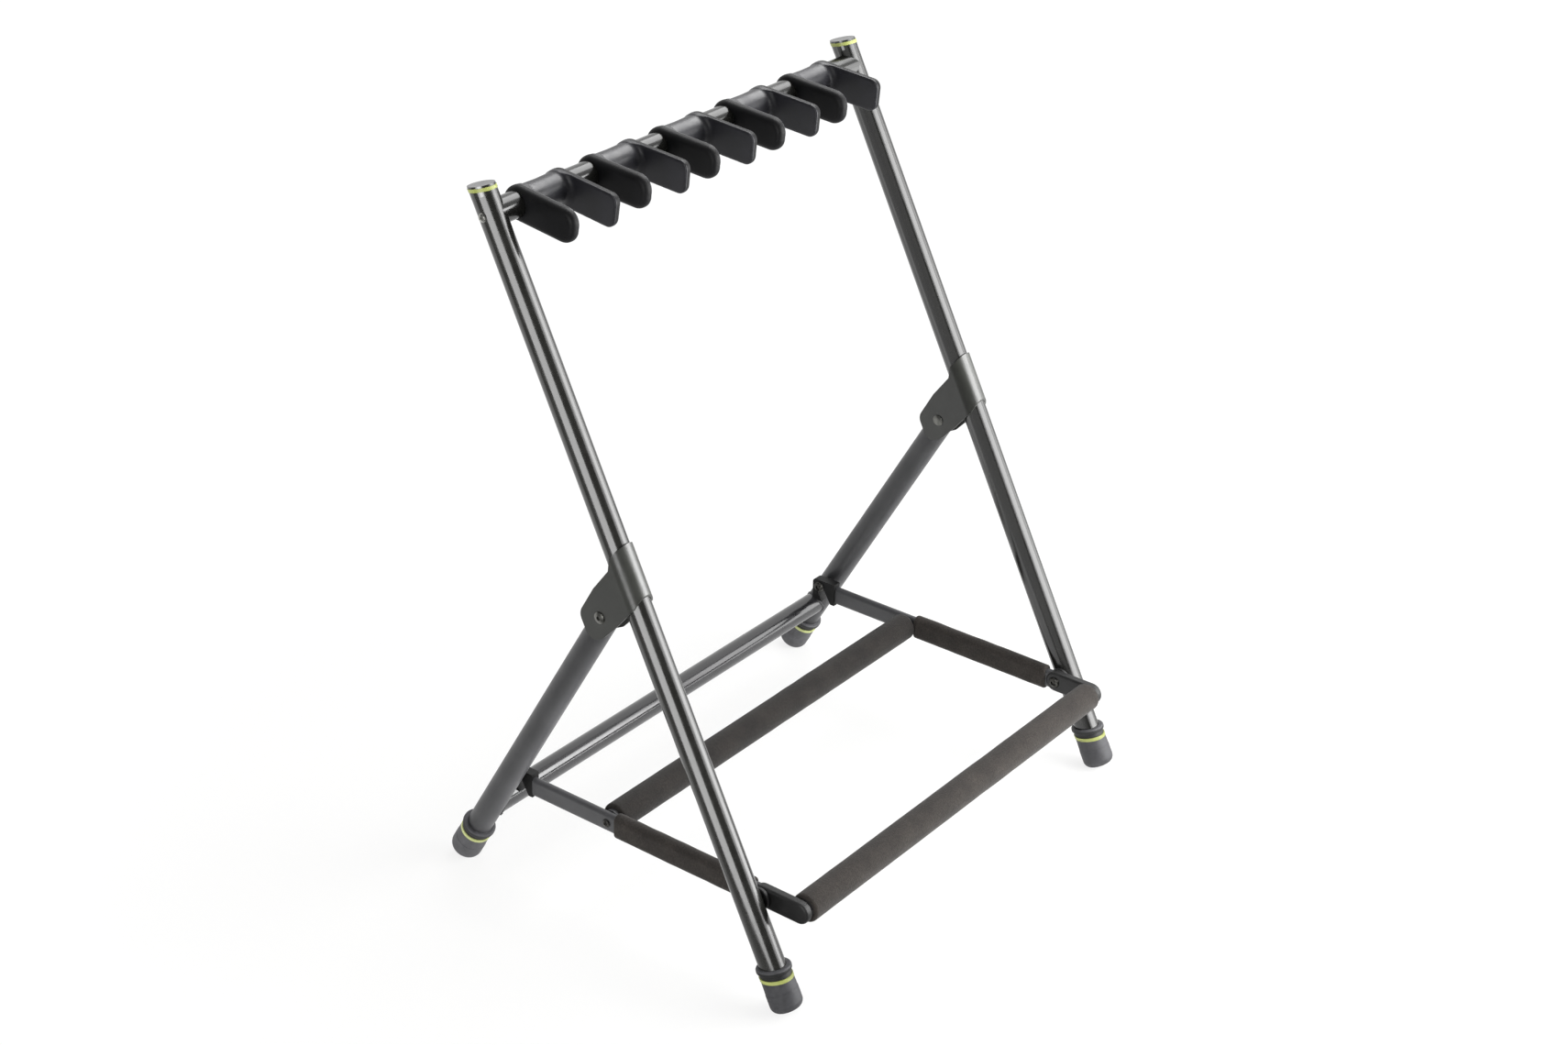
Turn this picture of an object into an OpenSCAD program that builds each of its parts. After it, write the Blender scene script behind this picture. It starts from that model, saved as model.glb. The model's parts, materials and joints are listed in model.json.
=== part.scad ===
// Folding rack for a row of guitars: two leaning uprights joined by a top bar with sliding
// neck yokes, a hinged pair of rear legs, and a padded base frame that hooks onto the legs.
// Millimetres. X runs across the rack, +Y to the back, +Z up. The floor is z = 0.

/* [Overall] */
// Height from the floor to the top of the upright caps
overall_height = 713; // [620:1:860]
// Depth over the front and rear feet
overall_depth = 421; // [360:1:500]
// Distance between the axes of the two uprights
frame_span = 529; // [480:1:640]
// Backward lean of the uprights from the vertical, in degrees
upright_lean = 26.6; // [22:0.1:30]

/* [Tubes] */
// Outside diameter of the uprights and rear legs
tube_d = 25; // [20:0.5:30]
// Wall of every round tube
tube_wall = 1.5; // [1:0.1:2.5]
// Outside diameter of the tube between the rear legs
crossbar_d = 23; // [18:0.5:25]
// Height of that tube's axis above the floor
crossbar_z = 66; // [60:1:80]

/* [Top bar and yokes] */
// Outside diameter of the bar that carries the yokes
bar_d = 25; // [20:0.5:30]
// Distance from the upright's top end down to the bar's axis, along the upright
bar_drop = 28; // [25:0.5:45]
// Distance from one yoke to the next
yoke_pitch = 98; // [90:0.5:103]
// Sideways place of the middle yoke on the bar
row_shift = -6; // [-10:0.5:10]
// Clear width between the two arms of a yoke
yoke_gap = 47; // [40:0.5:60]
// Thickness of a yoke arm
arm_t = 9.5; // [7:0.5:12]
// Height of a yoke arm
arm_h = 33; // [30:0.5:40]
// Reach of the arms forward from the bar's axis to the tip
arm_reach = 67.5; // [50:1:90]
// Corner rounding at the tip of a yoke's right arm
tip_r = 9; // [7:0.5:13]
// Corner rounding at the tip of a yoke's left arm
round_tip_r = 14; // [9:0.5:14.5]
// Rounding of an arm's outer edge
arm_round = 5.5; // [3:0.5:7]
// Downward slope of the arms, in degrees
arm_droop = 5; // [0:0.5:10]
// Turn of the first yoke on the bar, in degrees
first_turn = 3; // [0:0.5:6]
// Least wall of the yoke's waisted sleeve
sleeve_wall = 1.9; // [1.2:0.1:4]

/* [Hinge brackets] */
// Distance along the upright from its foot's centre up to the leg hinge
hinge_along = 380; // [330:1:430]
// Gap between the folded leg and the upright
fold_gap = 12.3; // [8:0.1:20]
// Sheet thickness of the bracket
sheet_t = 1.8; // [1.2:0.1:3]
// Radius of the hinge rivet's shank
rivet_r = 4; // [3:0.1:5]
// Length of leg above the hinge
leg_overrun = 17; // [13:0.5:18]

/* [Base frame] */
// Height of the side rails' axis above the floor
rail_z = 94.8; // [85:1:115]
// Height of the flat-oval side rail
rail_h = 20; // [16:0.2:24]
// Width of the flat-oval side rail
rail_w = 8; // [7:0.2:12]
// Wall of the side rail
rail_wall = 1.5; // [1:0.1:2]
// Distance from the upright pivot forward to the front bar's axis
front_bar_reach = 40.5; // [34:1:60]
// Distance from the upright pivot back to the middle bar's axis
mid_bar_reach = 184; // [150:1:200]
// Outside diameter of the two padded bars
pad_bar_d = 19; // [16:0.5:22]
// Thickness of the foam on the bars
foam_t = 4.5; // [3:0.5:8]
// Thickness of the foam on the side rails
rail_foam_t = 3; // [1.5:0.1:3.5]
// Radius of the pivot bolts and hook studs
bolt_r = 4; // [3:0.1:4.6]
// Gap across the pivot bush, from upright to rail
bush_gap = 4.6; // [4.5:0.1:8]
// Height of the hook stud above the rail axis
stud_rise = 6; // [2:0.5:8]

/* [Feet and caps] */
// Rubber around the tube at a foot
boot_wall = 3.1; // [2.5:0.1:6]
// Rubber below a foot's centre, along the tube
sole_t = 11.6; // [10:0.1:15]
// Rounding of a foot's lower edge
sole_r = 7.4; // [5:0.1:7.7]
// Depth of the worn flat under a foot
sole_flat = 1; // [0.5:0.1:2]
// Length of a foot above its centre
boot_len = 32; // [30:1:45]
// Height of a coloured ring
ring_h = 3.4; // [2:0.2:5]
// Tilt of the rings and rims on the uprights from square towards level, in degrees
rim_tilt = 12; // [0:1:14]
// Thickness of the flange of an upright's cap
cap_t = 11; // [10:0.5:14]

/* [Hidden] */
$fn = 48;
// Gap between pieces of one body that bear on each other
seat_gap = 0.1;
// Radial clearance of a hinge pin in its hole
running_gap = 0.05;
// Side clearance between pieces that move past each other
side_gap = 0.35;

tube_r = tube_d / 2;
bar_r = bar_d / 2;
half_span = frame_span / 2;
boot_r = tube_r + boot_wall;
// The lowest edge of a foot is worn flat on the floor
boot_z = (sole_t - sole_r) * cos(upright_lean) + (boot_r - sole_r) * sin(upright_lean) + sole_r - sole_flat;
boot_reach = (sole_t - sole_r) * sin(upright_lean) + (boot_r - sole_r) * cos(upright_lean) + sole_r;
cap_r = tube_r + 0.1;
cap_rise = cap_r * (sin(upright_lean) - tan(rim_tilt) * cos(upright_lean));

// Foot centres, and the upright's length from its foot's centre to the top of its cap
front_y = -overall_depth / 2 + boot_reach;
rear_y = overall_depth / 2 - boot_reach;
upright_len = (overall_height - cap_rise - boot_z) / cos(upright_lean);
// The tubes stop this far above the foot's centre
tube_seat = 4;

// Points of the side view, each [y, z]
function upright_at(along, behind = 0) = [
    front_y + along * sin(upright_lean) + behind * cos(upright_lean),
    boot_z + along * cos(upright_lean) - behind * sin(upright_lean)];
hinge_setback = tube_d + fold_gap;
hinge_at = upright_at(hinge_along, hinge_setback);
leg_lean = atan2(rear_y - hinge_at[0], hinge_at[1] - boot_z);
leg_to_hinge = norm([rear_y - hinge_at[0], hinge_at[1] - boot_z]);
function leg_at(height) = [rear_y - (height - boot_z) * tan(leg_lean), height];
function leg_along(height) = (height - boot_z) / cos(leg_lean);
pivot_along = (rail_z - boot_z) / cos(upright_lean);
pivot_at = upright_at(pivot_along);
stud_z = rail_z + stud_rise;
stud_at = leg_at(stud_z);
bar_along = upright_len - bar_drop;
bar_at = upright_at(bar_along);

// Fold angles that bring the legs and the base frame parallel to the uprights
leg_fold = upright_lean + leg_lean;
base_fold = 90 - upright_lean;
// Way the stud leaves the hook as both fold together, seen from the base frame
from_hinge = stud_at - hinge_at;
from_pivot = stud_at - pivot_at;
fold_ratio = base_fold / leg_fold;
slot_way = [from_hinge[1] + fold_ratio * from_pivot[1], -from_hinge[0] - fold_ratio * from_pivot[0]];
slot_angle = atan2(slot_way[1], slot_way[0]);

// Side rails and their end pieces
rail_x = half_span - tube_r - bush_gap - rail_w / 2;
rail_in = rail_x - rail_w / 2;
rail_out = rail_x + rail_w / 2;
front_bar_y = pivot_at[0] - front_bar_reach;
mid_bar_y = pivot_at[0] + mid_bar_reach;
nose_r = rail_h / 2 + 0.9;
nose_w = rail_w + 2.6;
nose_back = 18;
// The hook is flush with the rail outside, so it passes the hinge bracket when folded
hook_in = rail_in - 1.6;
hook_out = rail_out;
hook_front = 20;
hook_back = 8.5;
hook_top = 8;
hook_drop = 17;
slot_gap = 0.6;
// The slot opens forward by this angle, because the stud's way out curves
slot_flare = 4;
rail_rear_y = stud_at[0] - hook_front;
rail_front_y = front_bar_y - 5;
pad_bar_r = pad_bar_d / 2;
foam_r = pad_bar_r + foam_t;
foam_gap = 0.3;
foam_end_gap = 0.6;
bush_r = rail_h / 2 + 0.6;
bolt_head_r = bolt_r + 1.8;
bolt_head_t = 3;
insert_r = bolt_r + 1.5;
insert_len = 10;
screw_r = 3;
screw_head_r = 4.4;
screw_head_t = 2.2;
plug_len = 14;
foam_front_y = pivot_at[0] + bush_r + 0.8;
foam_rear_y = mid_bar_y - pad_bar_r - 0.8;

// Yokes
yoke_count = 5;
arm_r = arm_h / 2;
// The sleeve meets the arms this far inside their rim
rim_step = 0.4;
yoke_half = yoke_gap / 2 + arm_t;
sleeve_r = bar_r + sleeve_wall;
// Rounding of an arm's inner edge, towards the neck
arm_soft = 1.2;
yoke_grip = 0.08;
// Middle of a foot's ring above the foot's centre, and height of its lip
ring_along = 21.4;
lip_h = 5;
waist_r = boot_r - 0.5;
lip_r = boot_r + 1;

SIDES = [-1, 1];

// Children are drawn for the right-hand side and mirrored for the left
module on_side(side) {
    mirror([side < 0 ? 1 : 0, 0, 0]) children();
}

// Local frame of an upright: +Z up along it from the foot's centre, +Y behind it
module on_upright(side) {
    on_side(side)
        translate([half_span, front_y, boot_z])
        rotate([-upright_lean, 0, 0])
        children();
}

// Local frame of a rear leg: +Z up along it from the foot's centre
module on_leg(side) {
    on_side(side)
        translate([half_span, rear_y, boot_z])
        rotate([leg_lean, 0, 0])
        children();
}

// Cylinder along X
module rod(r, x0, x1) {
    translate([x0, 0, 0]) rotate([0, 90, 0]) cylinder(r = r, h = x1 - x0);
}

// Round tube along Z
module tube(r, wall, z0, z1) {
    difference() {
        translate([0, 0, z0]) cylinder(r = r, h = z1 - z0);
        translate([0, 0, z0 - 1]) cylinder(r = r - wall, h = z1 - z0 + 2);
    }
}

// Upright oval with straight sides and round ends
module oval(h, w) {
    square([w, h - w], center = true);
    for (end = SIDES) translate([0, end * (h - w) / 2]) circle(d = w);
}

// Straight run along Y of an outline drawn in X and Z
module run(y0, y1) {
    translate([0, y1, 0]) rotate([90, 0, 0]) linear_extrude(height = y1 - y0) children();
}

// Slab across X of an outline drawn in Y and Z
module slab(x0, x1) {
    translate([x0, 0, 0]) rotate([90, 0, 90]) linear_extrude(height = x1 - x0) children();
}

// Collar along X with bevelled rims
module bevelled_collar(r_in, r_out, half_len, bevel) {
    rotate([0, 90, 0]) rotate_extrude() polygon([
        [r_in, -half_len], [r_out - bevel, -half_len], [r_out, -half_len + bevel],
        [r_out, half_len - bevel], [r_out - bevel, half_len], [r_in, half_len]]);
}

// Screw along X whose low domed head is on the outer side of x
module screw(x, shank_r, shank_len, head_r, head_t) {
    rod(shank_r, x - shank_len, x);
    translate([x, 0, 0]) rotate([0, 90, 0]) rotate_extrude() {
        square([head_r, head_t * 0.4]);
        intersection() {
            square([head_r, head_t]);
            translate([0, head_t - dome_r(head_r, head_t)]) circle(r = dome_r(head_r, head_t));
        }
    }
}
// Radius of a dome that stands head_t * 0.6 above its rim
function dome_r(head_r, head_t) = (head_r * head_r + pow(head_t * 0.6, 2)) / (1.2 * head_t);

module upright(side) {
    color("#1b1b19") on_upright(side) difference() {
        tube(tube_r, tube_wall, tube_seat, upright_len - cap_t);
        translate([0, 0, bar_along]) rod(screw_r + running_gap, -tube_d, tube_d);
        translate([0, 0, pivot_along]) rod(insert_r + running_gap, -tube_d, 0);
    }
}

module top_bar() {
    color("#26262a") difference() {
        translate([0, bar_at[0], bar_at[1]]) difference() {
            rod(bar_r, -half_span, half_span);
            rod(bar_r - tube_wall, -half_span - 1, half_span + 1);
        }
        for (side = SIDES) on_upright(side)
            cylinder(r = tube_r + seat_gap, h = upright_len);
    }
}

module top_bar_inserts() {
    color("#3a3a3a") for (side = SIDES) on_side(side)
        translate([half_span - tube_r, bar_at[0], bar_at[1]]) difference() {
            rod(bar_r - tube_wall - seat_gap, -plug_len - 2, -2);
            rod(screw_r + running_gap, -plug_len - 3, 0);
        }
}

module top_bar_screws() {
    color("#9a9a98") for (side = SIDES) on_side(side)
        translate([half_span, bar_at[0], bar_at[1]])
        screw(tube_r, screw_r, tube_d + plug_len, screw_head_r, screw_head_t);
}

// Part of the children below a plane across the tube, tilted forward
module below(z, tilt) {
    intersection() {
        children();
        translate([0, 0, z]) rotate([tilt, 0, 0])
            translate([-2 * boot_r, -2 * boot_r, -6 * boot_r]) cube([4 * boot_r, 4 * boot_r, 6 * boot_r]);
    }
}

// Slanting slice of a sleeve round the tube
module slant_band(r_in, r_out, z, h, tilt) {
    intersection() {
        tube(r_out, r_out - r_in, z - h - r_out, z + h + r_out);
        translate([0, 0, z]) rotate([tilt, 0, 0]) cube([4 * r_out, 4 * r_out, h], center = true);
    }
}

// Groove for a coloured ring in a piece of radius r, and the ring, lying proud by a little
module groove(r, z, tilt) {
    slant_band(r - 1, r + 2, z, ring_h, tilt);
}
module band(r, z, tilt) {
    slant_band(r - 1 + seat_gap, r + 0.4, z, ring_h - 2 * seat_gap, tilt);
}
cap_ring_along = upright_len - 3.6;

module top_cap(side) {
    color("#2a2a2a") on_upright(side) difference() {
        below(upright_len, rim_tilt) translate([0, 0, upright_len - cap_t]) {
            translate([0, 0, -14]) cylinder(r = tube_r - tube_wall - seat_gap, h = 15);
            cylinder(r = cap_r, h = 2 * cap_t);
        }
        groove(cap_r, cap_ring_along, rim_tilt);
    }
}

module top_cap_rings() {
    color("#cdd95a") for (side = SIDES) on_upright(side) band(cap_r, cap_ring_along, rim_tilt);
}

// Folded sheet: a U round the front of the upright whose cheeks run back along the leg
module hinge_bracket(side) {
    inner = tube_r + side_gap;
    outer = inner + sheet_t;
    back = hinge_setback + 30;
    color("#474742") on_upright(side) difference() {
        intersection() {
            translate([0, 0, hinge_along - 40]) linear_extrude(height = 120) difference() {
                union() {
                    circle(r = outer);
                    translate([-outer, 0]) square([2 * outer, back]);
                }
                circle(r = inner);
                translate([-inner, 0]) square([2 * inner, back + 1]);
            }
            translate([0, hinge_setback, hinge_along]) slab(-outer - 1, outer + 1) cheek_outline();
        }
        translate([0, hinge_setback, hinge_along]) rod(rivet_r + running_gap, -outer - 1, outer + 1);
    }
}

// Side view of a cheek about the hinge: behind the upright in x, along it in y
module cheek_outline() {
    front = -hinge_setback - tube_r - sheet_t - 2;
    neck = -hinge_setback + 6;
    toe = 23;
    heel_r = 12;
    toe_r = 11;
    slope = 34;
    knee = [-5.5, 27.5];
    heel_z = knee[1] - (toe - heel_r - knee[0]) * tan(slope) - heel_r / cos(slope);
    difference() {
        polygon([[front, 59.5], [neck - 7, 51.5], [neck, 40.5], knee,
            [toe, knee[1] - (toe - knee[0]) * tan(slope)], [toe, -20], [5, -19.5],
            [-15, -12], [-43, 0.5], [front, 11]]);
        // The two rear corners are rounded off
        difference() {
            translate([toe - heel_r + heel_r * sin(slope), heel_z]) square(heel_r);
            translate([toe - heel_r, heel_z]) circle(r = heel_r);
        }
        difference() {
            translate([toe - toe_r, -21]) square([toe_r + 1, toe_r + 1]);
            translate([toe - toe_r, toe_r - 20]) circle(r = toe_r);
        }
    }
}

module hinge_rivet(side) {
    outer = tube_r + side_gap + sheet_t;
    head_r = rivet_r + 1.6;
    color("#3b3b39") on_upright(side) translate([0, hinge_setback, hinge_along]) difference() {
        union() {
            screw(outer + seat_gap, rivet_r, 2 * outer + 2 * seat_gap, head_r, 2.2);
            mirror([1, 0, 0]) screw(outer + seat_gap, rivet_r, 1, head_r, 1.6);
        }
        // Hollow end of the rivet, outside
        rod(rivet_r / 2, outer + 0.8, outer + 4);
    }
}

// Rubber boot: rounded sole, ring groove, neck and a soft lip round the tube
module boot(tilt) {
    lip_round = 1.8;
    difference() {
        union() {
            below(ring_along, tilt) rotate_extrude() {
                polygon([[0, 0], [boot_r, 0], [waist_r, ring_along - ring_h / 2 - 1.5], [waist_r, 2 * boot_len],
                    [0, 2 * boot_len]]);
                translate([0, sole_r - sole_t]) square([boot_r, sole_t]);
                translate([0, -sole_t]) square([boot_r - sole_r, sole_t]);
                translate([boot_r - sole_r, sole_r - sole_t]) circle(r = sole_r);
            }
            below(boot_len - 1, tilt) cylinder(r = waist_r - 0.5, h = 2 * boot_len);
            translate([0, 0, boot_len - lip_h]) rotate([tilt, 0, 0]) rotate_extrude() {
                square([lip_r - lip_round, lip_h]);
                translate([0, lip_round]) square([lip_r, lip_h - 2 * lip_round]);
                for (z = [lip_round, lip_h - lip_round])
                    translate([lip_r - lip_round, z]) circle(r = lip_round);
            }
        }
        groove(waist_r, ring_along, tilt);
        translate([0, 0, tube_seat]) cylinder(r = tube_r + seat_gap, h = 2 * boot_len);
    }
}

// Everything of the children above the floor
module above_floor() {
    intersection() {
        children();
        translate([-frame_span, -overall_depth, 0]) cube([2 * frame_span, 2 * overall_depth, 200]);
    }
}

module front_foot(side) {
    color("#55555a") above_floor() on_upright(side) boot(rim_tilt);
}

module rear_foot(side) {
    color("#55555a") above_floor() on_leg(side) boot(0);
}

module front_foot_rings() {
    color("#cdd95a") for (side = SIDES) on_upright(side) band(waist_r, ring_along, rim_tilt);
}

module rear_foot_rings() {
    color("#cdd95a") for (side = SIDES) on_leg(side) band(waist_r, ring_along, 0);
}

// Shoulder bolt from inside the rail into the upright
module pivot_bolt(side) {
    color("#8d8d8b") on_side(side) translate([0, pivot_at[0], pivot_at[1]])
        mirror([1, 0, 0])
        screw(-rail_in + side_gap, bolt_r, half_span - rail_in + side_gap - 2, bolt_head_r, bolt_head_t);
}

// Plastic spacer between upright and rail
module pivot_bush(side) {
    half_len = (bush_gap - side_gap - seat_gap) / 2;
    color("#161616") on_side(side)
        translate([half_span - tube_r - seat_gap - half_len, pivot_at[0], pivot_at[1]])
        bevelled_collar(bolt_r + running_gap, bush_r, half_len, 0.8);
}

// Threaded sleeve through a tube's inner wall
module wall_insert(at) {
    translate([half_span - tube_r, at[0], at[1]]) difference() {
        rod(insert_r, 0.3, insert_len);
        rod(bolt_r + running_gap, -1, insert_len + 1);
    }
}

module pivot_inserts() {
    color("#8d8d8b") for (side = SIDES) on_side(side) wall_insert(pivot_at);
}

module stud_inserts() {
    color("#8d8d8b") for (side = SIDES) on_side(side) wall_insert(stud_at);
}

module rear_leg(side) {
    color("#4a4a4c") on_leg(side) difference() {
        tube(tube_r, tube_wall, tube_seat, leg_to_hinge + leg_overrun);
        translate([0, 0, leg_to_hinge]) rod(rivet_r + 1 + running_gap, -tube_d, tube_d);
        translate([0, 0, leg_along(stud_z)]) rod(insert_r + running_gap, -tube_d, 0);
    }
}

// Sleeves in the legs that turn on the hinge rivets
module leg_hinge_bushes() {
    color("#c9c6ba") for (side = SIDES) on_leg(side) translate([0, 0, leg_to_hinge]) difference() {
        rod(rivet_r + 1, -tube_r, tube_r);
        rod(rivet_r + running_gap, -tube_d, tube_d);
    }
}

module leg_top_plugs() {
    color("#161616") for (side = SIDES) on_leg(side)
        translate([0, 0, leg_to_hinge + leg_overrun]) rotate_extrude() {
            translate([0, -leg_overrun / 2]) square([tube_r - tube_wall - seat_gap, leg_overrun / 2]);
            polygon([[0, 0], [tube_r - 0.2, 0], [tube_r - 2.5, 2.2], [0, 2.2]]);
        }
}

module rear_crossbar() {
    at = leg_at(crossbar_z);
    color("#55554f") difference() {
        translate([0, at[0], at[1]]) difference() {
            rod(crossbar_d / 2, -half_span, half_span);
            rod(crossbar_d / 2 - tube_wall, -half_span - 1, half_span + 1);
        }
        for (side = SIDES) on_leg(side) cylinder(r = tube_r + seat_gap, h = leg_to_hinge);
    }
}

// Headed stud on the leg that the rail's hook drops over
module hook_stud(side) {
    head = hook_in - side_gap;
    color("#8d8d8b") on_side(side) translate([0, stud_at[0], stud_at[1]])
        mirror([1, 0, 0]) screw(-head, bolt_r, half_span - head - 2, bolt_head_r, bolt_head_t);
}

// Flat-oval side rail, open at both ends
module side_rail(side) {
    color("#5b5b5d") on_side(side) difference() {
        translate([rail_x, 0, rail_z]) run(rail_front_y, rail_rear_y) difference() {
            oval(rail_h, rail_w);
            oval(rail_h - 2 * rail_wall, rail_w - 2 * rail_wall);
        }
        translate([0, pivot_at[0], rail_z]) rod(bolt_r + running_gap, rail_in - 1, rail_out + 1);
        translate([0, mid_bar_y, rail_z]) rod(screw_r + running_gap, rail_in - 1, rail_out + 1);
    }
}

// Round end of a nose about the X axis, its outer rim rounded off
module nose_disc(edge) {
    half = nose_w / 2;
    rotate([0, 90, 0]) rotate_extrude() {
        translate([0, -half]) square([nose_r, nose_w - edge]);
        translate([0, -half]) square([nose_r - edge, nose_w]);
        translate([nose_r - edge, half - edge]) circle(r = edge);
    }
}

// Moulded end piece over the rail's front end, rounded about the front bar and plugged into it
module rail_nose(side) {
    edge = 2.6;
    color("#1a1a1a") on_side(side) translate([0, front_bar_y, rail_z]) {
        difference() {
            union() {
                translate([rail_x, 0, 0]) nose_disc(edge);
                slab(rail_x - nose_w / 2, rail_x + nose_w / 2 - edge)
                    translate([0, -nose_r]) square([nose_back, 2 * nose_r]);
                slab(rail_x - nose_w / 2, rail_x + nose_w / 2)
                    translate([0, edge - nose_r]) square([nose_back - 1, 2 * (nose_r - edge)]);
            }
            translate([rail_x, 0, 0]) run(rail_front_y - front_bar_y - seat_gap, nose_back + 1)
                oval(rail_h + 2 * seat_gap, rail_w + 2 * seat_gap);
        }
        rod(pad_bar_r - tube_wall - seat_gap, rail_x - nose_w / 2 - plug_len, rail_x - nose_w / 2 + 1);
    }
}

// Moulded end piece in the rail's rear end, with a slanting slot that drops over the stud
module rail_hook(side) {
    tongue_h = rail_h - 2 * rail_wall - 2 * seat_gap;
    tongue_w = rail_w - 2 * rail_wall - 2 * seat_gap;
    slot_r = bolt_r + slot_gap;
    corner_r = 4;
    color("#161616") on_side(side) translate([0, stud_at[0], stud_at[1]]) {
        slab(hook_in, hook_out) difference() {
            union() {
                translate([-hook_front, -hook_drop])
                    square([hook_front + hook_back - corner_r, hook_drop + hook_top]);
                translate([-hook_front, -hook_drop + corner_r])
                    square([hook_front + hook_back, hook_drop + hook_top - 2 * corner_r]);
                for (z = [-hook_drop + corner_r, hook_top - corner_r])
                    translate([hook_back - corner_r, z]) circle(r = corner_r);
            }
            circle(r = slot_r);
            for (flare = [0, slot_flare]) rotate(slot_angle - flare)
                translate([0, -slot_r]) square([3 * hook_drop, 2 * slot_r]);
        }
        translate([rail_x, 0, -stud_rise]) run(-hook_front - 25, -hook_front + 0.5) oval(tongue_h, tongue_w);
    }
}

// Straight tube between the rails, or between their end pieces
module pad_bar(y, end_x) {
    translate([0, y, rail_z]) difference() {
        rod(pad_bar_r, -end_x, end_x);
        rod(pad_bar_r - tube_wall, -end_x - 1, end_x + 1);
    }
}

front_bar_end = rail_x - nose_w / 2;
middle_bar_end = rail_in;

module front_bar() {
    color("#30302f") pad_bar(front_bar_y, front_bar_end);
}

module middle_bar() {
    color("#30302f") pad_bar(mid_bar_y, middle_bar_end);
}

module bar_plugs() {
    color("#3a3a3a") for (side = SIDES) on_side(side) translate([middle_bar_end, mid_bar_y, rail_z]) difference() {
        rod(pad_bar_r - tube_wall - seat_gap, -plug_len, 0);
        rod(screw_r + running_gap, -plug_len - 1, 1);
    }
}

module bar_screws() {
    color("#3b3b39") for (side = SIDES) on_side(side) translate([0, mid_bar_y, rail_z])
        screw(rail_out + seat_gap, screw_r, rail_w + plug_len - 2, screw_head_r, screw_head_t);
}

module bar_foam(y, end_x) {
    translate([0, y, rail_z])
        bevelled_collar(pad_bar_r + foam_gap, foam_r, end_x - foam_end_gap, 1.2);
}

module front_bar_foam() {
    color("#45403b") bar_foam(front_bar_y, front_bar_end);
}

module middle_bar_foam() {
    color("#45403b") bar_foam(mid_bar_y, middle_bar_end - rail_foam_t);
}

module rail_foam(side) {
    color("#3d3a36") on_side(side) translate([rail_x, 0, rail_z])
        run(foam_front_y, foam_rear_y) difference() {
            oval(rail_h + 2 * rail_foam_t, rail_w + 2 * rail_foam_t);
            oval(rail_h + 2 * foam_gap, rail_w + 2 * foam_gap);
        }
}

// Disc across X with a well rounded outer rim, towards +X, and a crisper inner one
module soft_disc(r) {
    rotate([0, 90, 0]) rotate_extrude($fn = 32) polygon([
        [0, -arm_t / 2],
        for (turn = [-90 : 45 : 0])
            [r + arm_soft * (cos(turn) - 1), arm_soft * (sin(turn) + 1) - arm_t / 2],
        for (turn = [0 : 18 : 90])
            [r + arm_round * (cos(turn) - 1), arm_round * (sin(turn) - 1) + arm_t / 2],
        [0, arm_t / 2]]);
}

// Neck yoke: two soft tongues joined by a waisted sleeve that slides on the bar
module neck_yoke(number) {
    x = row_shift + (number - (yoke_count + 1) / 2) * yoke_pitch;
    waist_half = yoke_gap / 2 + 1;
    waist_rise = arm_r - rim_step - sleeve_r;
    hollow_r = (waist_half * waist_half + waist_rise * waist_rise) / (2 * waist_rise);
    turn = number == 1 ? first_turn : 0;
    color("#222226") translate([x, bar_at[0], bar_at[1]]) rotate([turn, 0, 0]) difference() {
        union() {
            for (side = SIDES) on_side(side) translate([(yoke_gap + arm_t) / 2, 0, 0]) hull() {
                soft_disc(arm_r);
                for (end = SIDES) rotate([arm_droop, 0, 0]) let (r = side < 0 ? round_tip_r : tip_r)
                    translate([0, -arm_reach + r, end * (arm_r - r)]) soft_disc(r);
            }
            rotate([0, 90, 0]) rotate_extrude() difference() {
                translate([0, -waist_half]) square([arm_r - rim_step, 2 * waist_half]);
                translate([sleeve_r + hollow_r, 0]) circle(r = hollow_r, $fn = 96);
            }
        }
        rod(bar_r + yoke_grip, -yoke_half - 1, yoke_half + 1);
    }
}

upright(-1);  // upright_left
upright(1);  // upright_right
top_bar();
top_bar_inserts();
top_bar_screws();
top_cap(-1);  // top_cap_left
top_cap(1);  // top_cap_right
top_cap_rings();
hinge_bracket(-1);  // hinge_bracket_left
hinge_bracket(1);  // hinge_bracket_right
hinge_rivet(-1);  // hinge_rivet_left
hinge_rivet(1);  // hinge_rivet_right
front_foot(-1);  // front_foot_left
front_foot(1);  // front_foot_right
front_foot_rings();
pivot_bolt(-1);  // pivot_bolt_left
pivot_bolt(1);  // pivot_bolt_right
pivot_bush(-1);  // pivot_bush_left
pivot_bush(1);  // pivot_bush_right
pivot_inserts();
rear_leg(-1);  // rear_leg_left
rear_leg(1);  // rear_leg_right
leg_hinge_bushes();
leg_top_plugs();
rear_crossbar();
rear_foot(-1);  // rear_foot_left
rear_foot(1);  // rear_foot_right
rear_foot_rings();
hook_stud(-1);  // hook_stud_left
hook_stud(1);  // hook_stud_right
stud_inserts();
side_rail(-1);  // side_rail_left
side_rail(1);  // side_rail_right
rail_nose(-1);  // rail_nose_left
rail_nose(1);  // rail_nose_right
rail_hook(-1);  // rail_hook_left
rail_hook(1);  // rail_hook_right
front_bar();
middle_bar();
bar_plugs();
bar_screws();
front_bar_foam();
middle_bar_foam();
rail_foam(-1);  // rail_foam_left
rail_foam(1);  // rail_foam_right
neck_yoke(1);  // neck_yoke_1
neck_yoke(2);  // neck_yoke_2
neck_yoke(3);  // neck_yoke_3
neck_yoke(4);  // neck_yoke_4
neck_yoke(5);  // neck_yoke_5
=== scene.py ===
"""Looks of the folding guitar rack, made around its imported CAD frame. Metres, +Z up, front towards -Y."""
import json
import math

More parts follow.
